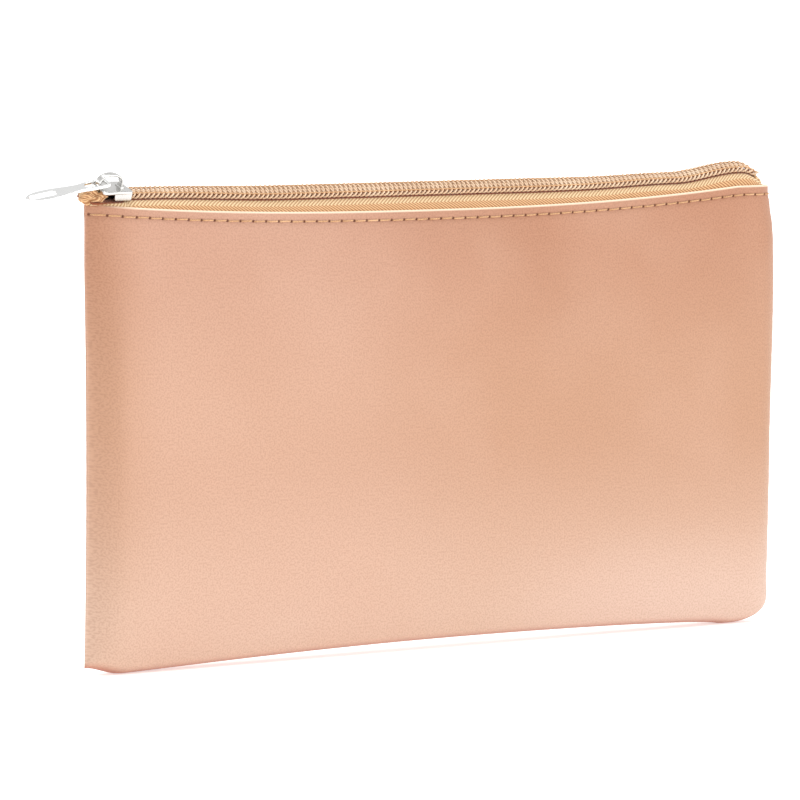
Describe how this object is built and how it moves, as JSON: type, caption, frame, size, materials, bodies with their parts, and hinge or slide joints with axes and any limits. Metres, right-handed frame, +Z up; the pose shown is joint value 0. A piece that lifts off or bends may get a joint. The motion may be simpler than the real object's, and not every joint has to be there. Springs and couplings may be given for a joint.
{
  "type": "cash deposit bag",
  "caption": "Flat zipped pouch of rose-gold faux leather for cash deposits, lined, with a coil zipper along the top and a metal slider with a paddle pull.",
  "frame": {"origin": "on the standing surface, in the middle of the bottom seam", "axes": "+X along the zipper towards the end it opens to, -Y out of the front wall, +Z up"},
  "size_m": [0.301, 0.0222, 0.156],
  "materials": {
    "leather": "satin pearl, fine pebble grain",
    "lining": "plain woven, matte",
    "tape": "herringbone woven",
    "coil": "nylon coil, slight gloss",
    "thread": "polyester thread, slight sheen",
    "slider_metal": "nickel plated",
    "pull_metal": "nickel plated, polished"
  },
  "bodies": {
    "seams": {"bottom_seam_margin": "leather", "left_seam_margin": "leather", "right_seam_margin": "leather", "bottom_seam_thread": "thread", "left_seam_thread": "thread", "right_seam_thread": "thread", "left_tape_end": "tape", "right_tape_end": "tape"},
    "front_wall": {"front_panel": "leather", "front_lining": "lining", "front_tape": "tape", "front_coil": "coil", "front_coil_cord": "coil", "front_coil_thread": "thread", "front_topstitch": "thread"},
    "back_wall": {"back_panel": "leather", "back_lining": "lining", "back_tape": "tape", "back_coil": "coil", "back_coil_cord": "coil", "back_coil_thread": "thread", "back_topstitch": "thread"},
    "slider": {"slider_body": "slider_metal", "slider_bail": "slider_metal"},
    "pull": {"pull_tab": "pull_metal"}
  },
  "joints": [
    {"name": "slider_slide", "type": "slide", "parent": "seams", "child": "slider", "axis": [1, 0, 0], "range_m": [0, 0.224], "deforming": ["front_tape", "back_tape", "front_coil", "back_coil", "front_coil_cord", "back_coil_cord", "front_coil_thread", "back_coil_thread", "left_tape_end", "right_tape_end"]},
    {"name": "pull_swing", "type": "hinge", "parent": "slider", "child": "pull", "pos_m": [-0.1309, -0.00195, 0.15282], "axis": [0, 0.9272, 0.3746], "range_deg": [0, 187]},
    {"name": "front_wall_open", "type": "hinge", "parent": "seams", "child": "front_wall", "pos_m": [0, 0, 0], "axis": [1, 0, 0], "range_deg": [0, 7]},
    {"name": "back_wall_open", "type": "hinge", "parent": "seams", "child": "back_wall", "pos_m": [0, 0, 0], "axis": [-1, 0, 0], "range_deg": [0, 7]}
  ],
  "couplings": [
    {"joint": "front_wall_open", "follows": "slider_slide", "rad_per_m": 0.52},
    {"joint": "back_wall_open", "follows": "slider_slide", "rad_per_m": 0.52}
  ]
}
